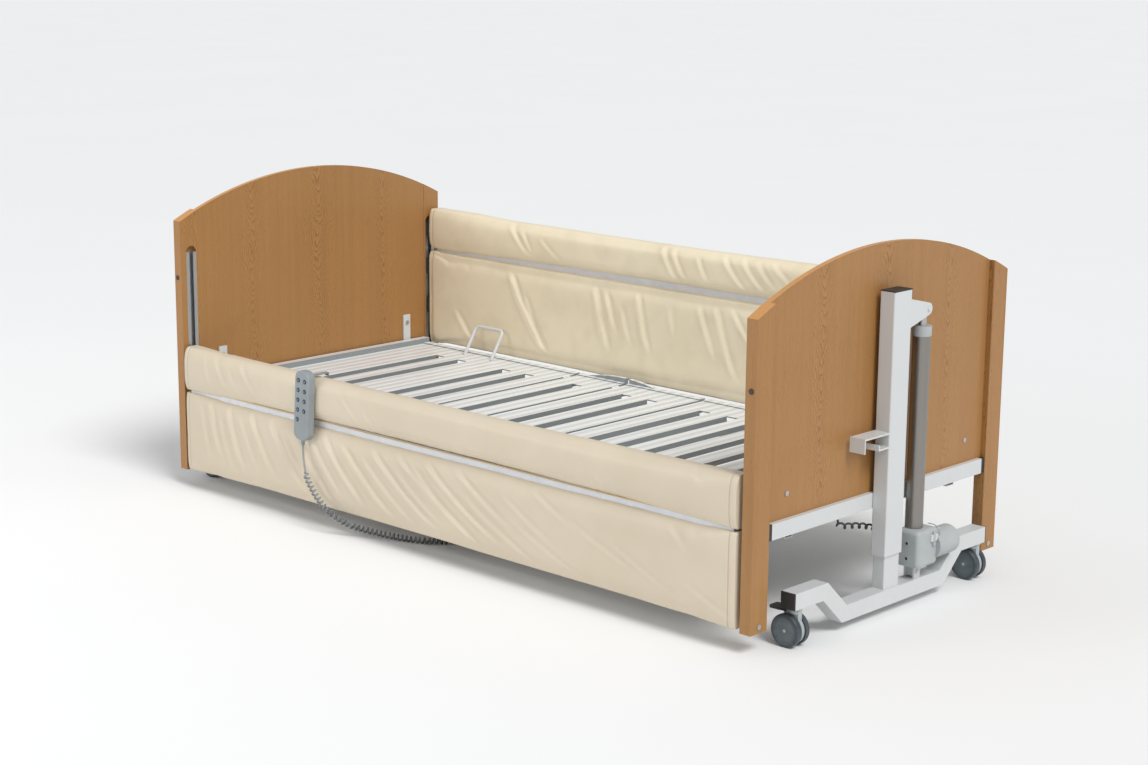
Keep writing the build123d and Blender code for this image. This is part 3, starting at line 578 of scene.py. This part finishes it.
def helix(line, outer, wire, pitch, start=0.0, per_turn=16, taper=0.018):
    """Points of a curly cord wound round a line; the turns shrink to nothing at both ends."""
    fine, length = even_line(line, pitch / per_turn)
    tangent = (fine[1] - fine[0]).normalized()
    side = Vector((0, 0, 1)).cross(tangent)
    side = side.normalized() if side.length > 0.01 else tangent.orthogonal().normalized()
    points = []
    for i, point in enumerate(fine):
        ahead = fine[min(i + 1, len(fine) - 1)]
        behind = fine[max(i - 1, 0)]
        along = (ahead - behind).normalized()
        side = (side - along * side.dot(along)).normalized()
        other = along.cross(side)
        travelled = length * i / (len(fine) - 1)
        near_end = min(travelled, length - travelled)
        swell = min(1.0, near_end / taper)
        swell = swell * swell * (3 - 2 * swell)
        radius = (outer - wire) / 2 * swell
        wobble = 1 + 0.04 * noise.noise(Vector((travelled * 60, 0.0, 4.0)))
        turn = start + 2 * pi * travelled / pitch
        points.append(point + (side * cos(turn) + other * sin(turn)) * radius * wobble)
    return points


def make_cords(finish):
    lead = cord_curve("handset_lead", lead_route, lead_wire / 2)
    lead.data.materials.append(finish["cord"])
    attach(lead, "near_rail")
    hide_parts("handset_cord_lead")

    turns = helix(smooth_line(coil_route), coil_outer, coil_wire, coil_pitch)
    curl = tube("handset_curl", turns, coil_wire / 2, finish["cord"], sides=8)
    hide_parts("handset_cord_coil")
    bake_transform(curl)

    loops = helix(smooth_line(cable_route), cable_outer, cable_wire, cable_pitch, per_turn=28)
    cable = tube("motor_curl", loops, cable_wire / 2, finish["cable"], sides=10)
    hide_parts("motor_cable")
    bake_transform(cable)


# ---- Pads ----


def pad_space(node):
    """Lowest and highest corner that a pad may fill: its CAD solid, plus a lower pad's cover inside its bars
    and a little at the edges towards the lining."""
    low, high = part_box(node)
    if node == "near_lower_pad":
        high.y += pad_inward
    if node == "far_lower_pad":
        low.y -= pad_inward
    if node.endswith("lower_pad"):
        high.z += pad_closing
    else:
        low.z -= pad_closing
    return low, high


def pull_shape(offset, width):
    """A raised ridge with a sharper valley beside it, by distance from the fold's line."""
    ridge = exp(-(offset / width) ** 2)
    valley = exp(-((offset / width - 1.2) * 1.35) ** 2)
    return 0.75 * ridge - 1.15 * valley


def soft_step(value):
    value = min(1.0, max(0.0, value))
    return value * value * (3 - 2 * value)


def pulled(pulls, x, z, low, high):
    """Height of all the pulls at one place on a cover."""
    share = (z - low.z) / (high.z - low.z)
    drop = high.z - z
    total = 0.0
    for place, lean, top, foot, depth, width in pulls:
        offset = x - place - lean * drop * (0.75 + 0.5 * (1 - share))
        if abs(offset) < 5 * width:
            fade = soft_step((top - share) / 0.14) * soft_step((share - foot) / 0.2)
            waver = 0.004 * noise.noise(Vector((x * 9, z * 14, place)))
            total += depth * fade * pull_shape(offset + waver, width)
    return total


def puckers(x, share, spacing, reach, depth):
    """Small gathers along a seam, fading over reach as shares of the pad's height."""
    gather = (1 - abs(sin(pi * (x / spacing + 1.1 * noise.noise(Vector((x * 14, 0, 0))))))) ** 1.6
    fade = max(0.0, 1 - share / (reach * (1 + 0.7 * noise.noise(Vector((x * 11, 1.0, 0))))))
    return -depth * gather * fade


def pad_section(low, high, power):
    """Points evenly spaced round a soft-cornered cross-section in Y and Z, about its centre."""
    half_y = (high.y - low.y) / 2 - pad_shy
    half_z = (high.z - low.z) / 2 - pad_shy
    dense = []
    for k in range(721):
        turn = 2 * pi * k / 720
        c, s = cos(turn), sin(turn)
        reach = (abs(c) ** power + abs(s) ** power) ** (-1 / power)
        dense.append(Vector((0, half_y * c * reach, half_z * s * reach)))
    points, _ = even_line(dense, pad_step)
    return points[:-1]


def pad_mesh(name, node, power, material):
    """Closed pad as rings of points along X, with rounded ends and a fan of faces closing each end."""
    low, high = pad_space(node)
    section = pad_section(low, high, power)
    middle = Vector((0, (low.y + high.y) / 2, (low.z + high.z) / 2))
    start, stop = low.x + pad_shy, high.x - pad_shy
    stations = [(start + depth, scale) for depth, scale in end_rings]
    count = round((stop - start - 2 * end_rings[-1][0]) / pad_step)
    first, last = start + end_rings[-1][0], stop - end_rings[-1][0]
    stations += [(first + (last - first) * k / count, 1.0) for k in range(1, count)]
    stations += [(stop - depth, scale) for depth, scale in end_rings[::-1]]
    points = []
    for x, scale in stations:
        points += [middle + Vector((x, p.y * scale, p.z * scale)) for p in section]
    faces = grid_faces(len(stations), len(section), wrap=True)
    for ring, x in ((0, start), (len(stations) - 1, stop)):
        points.append(middle + Vector((x, 0, 0)))
        hub = len(points) - 1
        base = ring * len(section)
        for k in range(len(section)):
            faces.append((base + k, base + (k + 1) % len(section), hub))
    made = add_mesh(name, points, faces, material)
    tidy = bmesh.new()
    tidy.from_mesh(made.data)
    bmesh.ops.recalc_face_normals(tidy, faces=tidy.faces)
    tidy.to_mesh(made.data)
    tidy.free()
    return made


def drape_near(x, z, low, high):
    share = (z - low.z) / (high.z - low.z)
    soft = 0.0016 * noise.noise(Vector((x * 5, z * 9, 2.0)))
    return pulled(near_skirt_pulls, x, z, low, high) + soft + puckers(x, 1 - share, 0.021, 0.08, 0.0012)


def drape_far(x, z, low, high):
    return pulled(far_skirt_pulls, x, z, low, high) + 0.0012 * noise.noise(Vector((x * 6, z * 7, 1.0)))


def drape_near_roll(x, z, low, high):
    share = (z - low.z) / (high.z - low.z)
    soft = 0.0012 * noise.noise(Vector((x * 5, z * 9, 6.0)))
    return pulled(near_roll_pulls, x, z, low, high) + soft + puckers(x, share, 0.019, 0.3, 0.0022)


def drape_far_roll(x, z, low, high):
    return pulled(far_roll_pulls, x, z, low, high) + 0.0012 * noise.noise(Vector((x * 5, z * 8, 4.0)))


def press_folds(pad, drape, node, amount):
    """Moves points along their normals by the drape function."""
    low, high = pad_space(node)
    normals = [v.normal.copy() for v in pad.data.vertices]
    for vertex, normal in zip(pad.data.vertices, normals):
        sideways = min(1.0, abs(normal.y) * 1.5 + 0.2)
        ends = min(1.0, max(0.0, (high.x - abs(vertex.co.x)) / 0.03))
        vertex.co += normal * drape(vertex.co.x, vertex.co.z, low, high) * amount * sideways * ends
    pad.data.update()


def keep_inside(pad, node):
    """Holds every point in the pad's space, and a far lower pad's inner face clear of its rail bars."""
    low, high = pad_space(node)
    facing = [v.normal.y for v in pad.data.vertices]
    for vertex, side in zip(pad.data.vertices, facing):
        vertex.co = [min(max(p, a + 0.0003), b - 0.0003) for p, a, b in zip(vertex.co, low, high)]
        if node == "far_lower_pad" and side < -0.5:
            vertex.co.y = min(vertex.co.y, bar_inner_y - 0.0006)
    pad.data.update()


def swell(pad, node, pressure, spare, cap):
    """Cloth simulation: the cover, cut a little large, is blown up from inside and wrinkles by itself."""
    start = [v.co.copy() for v in pad.data.vertices]
    cloth = pad.modifiers.new("cloth", "CLOTH")
    cloth.settings.quality = 6
    cloth.settings.mass = 0.25
    cloth.settings.tension_stiffness = 22
    cloth.settings.compression_stiffness = 22
    cloth.settings.shear_stiffness = 8
    cloth.settings.bending_stiffness = 1.2
    cloth.settings.use_pressure = True
    cloth.settings.uniform_pressure_force = pressure
    cloth.settings.shrink_min = -spare
    cloth.settings.effector_weights.gravity = 0
    cloth.collision_settings.use_collision = False
    cloth.collision_settings.use_self_collision = False
    cloth.point_cache.frame_start = 1
    cloth.point_cache.frame_end = 20
    for number in range(1, 21):
        bpy.context.scene.frame_set(number)
    graph = bpy.context.evaluated_depsgraph_get()
    shaped = pad.evaluated_get(graph).data
    moved = [v.co.copy() for v in shaped.vertices]
    pad.modifiers.remove(cloth)
    for vertex, before, after in zip(pad.data.vertices, start, moved):
        step = after - before
        if step.length > cap:
            step = step.normalized() * cap
        vertex.co = before + step
    pad.data.update()
    bpy.context.scene.frame_set(1)


def fill_space(pad, node):
    """Stretches the pad in Y and Z about its centre until it nearly fills its space again."""
    low, high = pad_space(node)
    centre = (low + high) / 2
    for axis in (1, 2):
        reaches = sorted(abs(v.co[axis] - centre[axis]) for v in pad.data.vertices)
        reach = reaches[int(len(reaches) * 0.93)]
        scale = ((high[axis] - low[axis]) / 2 - pad_shy) / reach
        for vertex in pad.data.vertices:
            vertex.co[axis] = centre[axis] + (vertex.co[axis] - centre[axis]) * scale
    pad.data.update()


def make_pad(name, node, power, drape, body, finish, spare=0.02):
    pad = pad_mesh(name, node, power, finish["vinyl"])
    press_folds(pad, drape, node, 0.5)
    swell(pad, node, 4.0, spare, 0.012)
    fill_space(pad, node)
    press_folds(pad, drape, node, 0.75)
    add_modifier(pad, "SUBSURF", levels=1, render_levels=1)
    apply_modifiers(pad)
    keep_inside(pad, node)
    for polygon in pad.data.polygons:
        polygon.use_smooth = True
    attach(pad, body)
    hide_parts(node)
    return pad


def join_strip(name, body, y, z_low, z_high, bulge, finish):
    """Lining fabric that joins a roll to the pad below it, slightly slack between its two seams."""
    half, columns, rows = 1.008, 260, 9
    points = []
    for j in range(rows):
        share = j / (rows - 1)
        for i in range(columns):
            x = -half + 2 * half * i / (columns - 1)
            slack = sin(pi * share) * (bulge + 0.0012 * noise.noise(Vector((x * 26, share * 2, y))))
            points.append(Vector((x, y + slack, z_low + (z_high - z_low) * share)))
    faces = grid_faces(rows, columns)
    strip = add_mesh(name, points, faces, finish["lining"])
    add_modifier(strip, "SOLIDIFY", thickness=0.0008)
    apply_modifiers(strip)
    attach(strip, body)
    return strip


def hem(name, body, y, z, finish):
    """Bound edge sewn along a pad, wandering a little."""
    route = []
    for i in range(160):
        x = -1.006 + 2.012 * i / 159
        aside = 0.0008 * noise.noise(Vector((x * 9, 2.0, z)))
        lift = 0.0014 * noise.noise(Vector((x * 3.1, 0.0, y)))
        route.append((x, y + aside, z + lift))
    return ride_with(tube(name, route, 0.0016, finish["hem"], sides=8), body)


def make_pads(finish):
    make_pad("near_roll", "near_upper_pad", 3.3, drape_near_roll, "near_rail", finish)
    make_pad("near_skirt", "near_lower_pad", 7.0, drape_near, "near_rail", finish, 0.03)
    make_pad("far_roll", "far_upper_pad", 3.3, drape_far_roll, "far_rail", finish)
    make_pad("far_skirt", "far_lower_pad", 7.0, drape_far, "far_rail", finish)
    join_strip("near_lining", "near_rail", -0.494, 0.2775, 0.3005, -0.002, finish)
    join_strip("far_lining", "far_rail", 0.468, 0.587, 0.612, 0.002, finish)
    hem("near_hem", "near_rail", -0.4975, 0.2985, finish)
    hem("far_hem", "far_rail", 0.4535, 0.3085, finish)


# ---- Lift motor trim ----
def recess_with_painted_shade(name, centre, radius, finish):
    """Shallow screw recess on a face that looks towards -Y, with its raised lip; a black disc in it is
    painted shade for the recess's depth.
    """
    x, y, z = centre
    turns = [2 * pi * k / 24 for k in range(25)]
    rim = [(x + radius * cos(turn), y - 0.0005, z + radius * sin(turn)) for turn in turns]
    ride_with(tube(name + "_lip", rim, 0.0007, finish["grey"], sides=8), "foot_base")
    # The black disc is painted shade inside the recess.
    floor = tube(name, [(x, y + 0.0005, z), (x, y - 0.0004, z)], radius * 0.93, finish["black"], sides=24)
    return ride_with(floor, "foot_base")


def make_motor_details(finish):
    """Wire bail, clip and screw recesses of the foot lift motor."""
    for number, height in enumerate((0.157, 0.119)):
        recess_with_painted_shade(f"motor_recess_{number + 1}", (1.0935, 0.064, height), 0.0046, finish)
    bail_route = [
        (1.094, 0.150, 0.1912), (1.108, 0.151, 0.1915), (1.122, 0.152, 0.1875),
        (1.1292, 0.1525, 0.1760), (1.1297, 0.1505, 0.1560), (1.1297, 0.1440, 0.1330),
        (1.1290, 0.1360, 0.1160), (1.1245, 0.1330, 0.1035),
    ]
    bail = tube("motor_bail", smooth_line(bail_route), 0.0011, finish["zinc"], sides=8)
    ride_with(bail, "foot_base")
    clip = bevelled_block("motor_clip", (1.1265, 1.1325), (0.112, 0.138), (0.158, 0.175), 0.0015,
                          finish["white"])
    ride_with(clip, "foot_base")
    tab = bevelled_block("motor_clip_tab", (1.127, 1.1338), (0.120, 0.128), (0.148, 0.183), 0.0012,
                         finish["grey"])
    ride_with(tab, "foot_base")


# ---- Finishes ----
def make_finishes():
    return {
        # Each cord's first colour is painted shade near the floor, its second the colour higher up.
        "cord": cord_sheath("cord_grey", (0.06, 0.066, 0.07), (0.27, 0.285, 0.295), 0.03, 0.15),
        "cable": cord_sheath("cable_dark", (0.02, 0.021, 0.024), (0.035, 0.036, 0.04), 0.1, 0.3),
        "vinyl": vinyl(),
        "lining": woven("lining", (0.72, 0.74, 0.79), (0.8, 0.81, 0.85)),
        "hem": woven("hem", (0.62, 0.42, 0.17), (0.7, 0.5, 0.22)),
        "white": powder_coat("powder_coat", (0.63, 0.645, 0.645), (0.5, 0.51, 0.5)),
        "deck": powder_coat("deck_coat", (0.82, 0.84, 0.84), (0.6, 0.62, 0.62), painted_side_shade=True),
        "grey": moulded("grey_plastic", (0.4, 0.43, 0.435), (0.47, 0.5, 0.505)),
        "black": moulded("black_plastic", (0.018, 0.018, 0.02), (0.035, 0.035, 0.038)),
        "brown": moulded("brown_plastic", (0.045, 0.025, 0.014), (0.07, 0.04, 0.022)),
        "handset": moulded("handset_grey", (0.25, 0.28, 0.29), (0.3, 0.335, 0.345), 0.5),
        "tube": drawn_metal("aluminium_tube", (0.3, 0.28, 0.26), (500.0, 500.0, 6.0), 0.34),
        "zinc": drawn_metal("zinc", (0.52, 0.52, 0.5), (90.0, 90.0, 90.0), 0.34),
        "bar_zinc": drawn_metal("rolled_steel", (0.55, 0.56, 0.58), (400.0, 400.0, 8.0), 0.36),
        "castor": castor_material(),
        "button": button_material(),
        "panel_oak": oak("oak_panel"),
        "post_oak": oak("oak_post", 0.0),
    }


def paint_all(finish):
    paint(finish["panel_oak"], "foot_panel", "head_panel")
    paint(finish["post_oak"], "end_board_posts")
    white_parts = ("foot_base_frame", "head_base_frame", "foot_column", "head_column",
                   "end_crossbars", "chassis_frame", "panel_brackets", "mattress_retainer",
                   "near_rail_bars", "far_rail_bars")
    paint(finish["white"], *white_parts)
    paint(finish["deck"], "seat_section", "backrest_section", "thigh_section", "calf_section")
    paint(finish["grey"], "foot_lift_motor", "head_lift_motor", "platform_actuators", "control_box")
    paint(finish["tube"], "foot_lift_tube", "head_lift_tube")
    paint(finish["zinc"], "lift_rods", "backrest_rod", "knee_rod", "end_board_bolts")
    paint(finish["bar_zinc"], "rail_channels")
    paint(finish["black"], "foot_base_caps", "head_base_caps", "frame_end_plugs", "near_rail_slides",
          "far_rail_slides", "brake_pedal")
    paint(finish["brown"], "post_plugs")
    paint(finish["handset"], "handset_shell")
    for number in range(1, 10):
        paint(finish["button"], f"handset_button_{number}")
    for end in ("foot", "head"):
        for side in ("near", "far"):
            paint(finish["castor"], f"{end}_{side}_castor_wheels")
            paint(finish["grey"], f"{end}_{side}_castor_hood")


# ---- Light and floor ----
def area_light(name, place, aim, size, power):
    data = bpy.data.lights.new(name, "AREA")
    data.shape = "RECTANGLE"
    data.size, data.size_y = size
    data.energy = power
    light = bpy.data.objects.new(name, data)
    light.location = place
    direction = Vector(aim) - Vector(place)
    light.rotation_euler = direction.to_track_quat("-Z", "Y").to_euler()
    bpy.context.scene.collection.objects.link(light)


def sun_light(name, towards, strength, spread):
    data = bpy.data.lights.new(name, "SUN")
    data.energy = strength
    data.angle = radians(spread)
    light = bpy.data.objects.new(name, data)
    light.rotation_euler = Vector(towards).to_track_quat("-Z", "Y").to_euler()
    bpy.context.scene.collection.objects.link(light)


def make_stage():
    floor_shader = Shader("studio_floor", (0.9, 0.9, 0.9), 0.75, specular=0.1)
    floor_shader.color(floor_shader.mix(floor_shader.noise(0.8, 3.0), (0.9, 0.9, 0.9), (0.93, 0.93, 0.93)))
    half = 150.0
    corners = [(-half, -half, 0), (half, -half, 0), (half, half, 0), (-half, half, 0)]
    floor = add_mesh("studio_floor", corners, [(0, 1, 2, 3)], floor_shader.material, smooth=False)
    bpy.context.scene.view_settings.view_transform = "Standard"
    world = bpy.data.worlds.new("studio")
    world.use_nodes = True
    background = world.node_tree.nodes["Background"]
    background.inputs["Color"].default_value = (0.97, 0.985, 1.0, 1)
    background.inputs["Strength"].default_value = 0.5
    bpy.context.scene.world = world
    sun_light("key_sun", (-0.60, 0.14, -0.74), 1.9, 24)
    area_light("front_fill", (-1.8, -4.6, 2.2), (0, 0, 0.3), (2.6, 2.0), 55)


make_camera()
finishes = make_finishes()
make_cords(finishes)
paint_all(finishes)
make_pads(finishes)
make_motor_details(finishes)
make_stage()
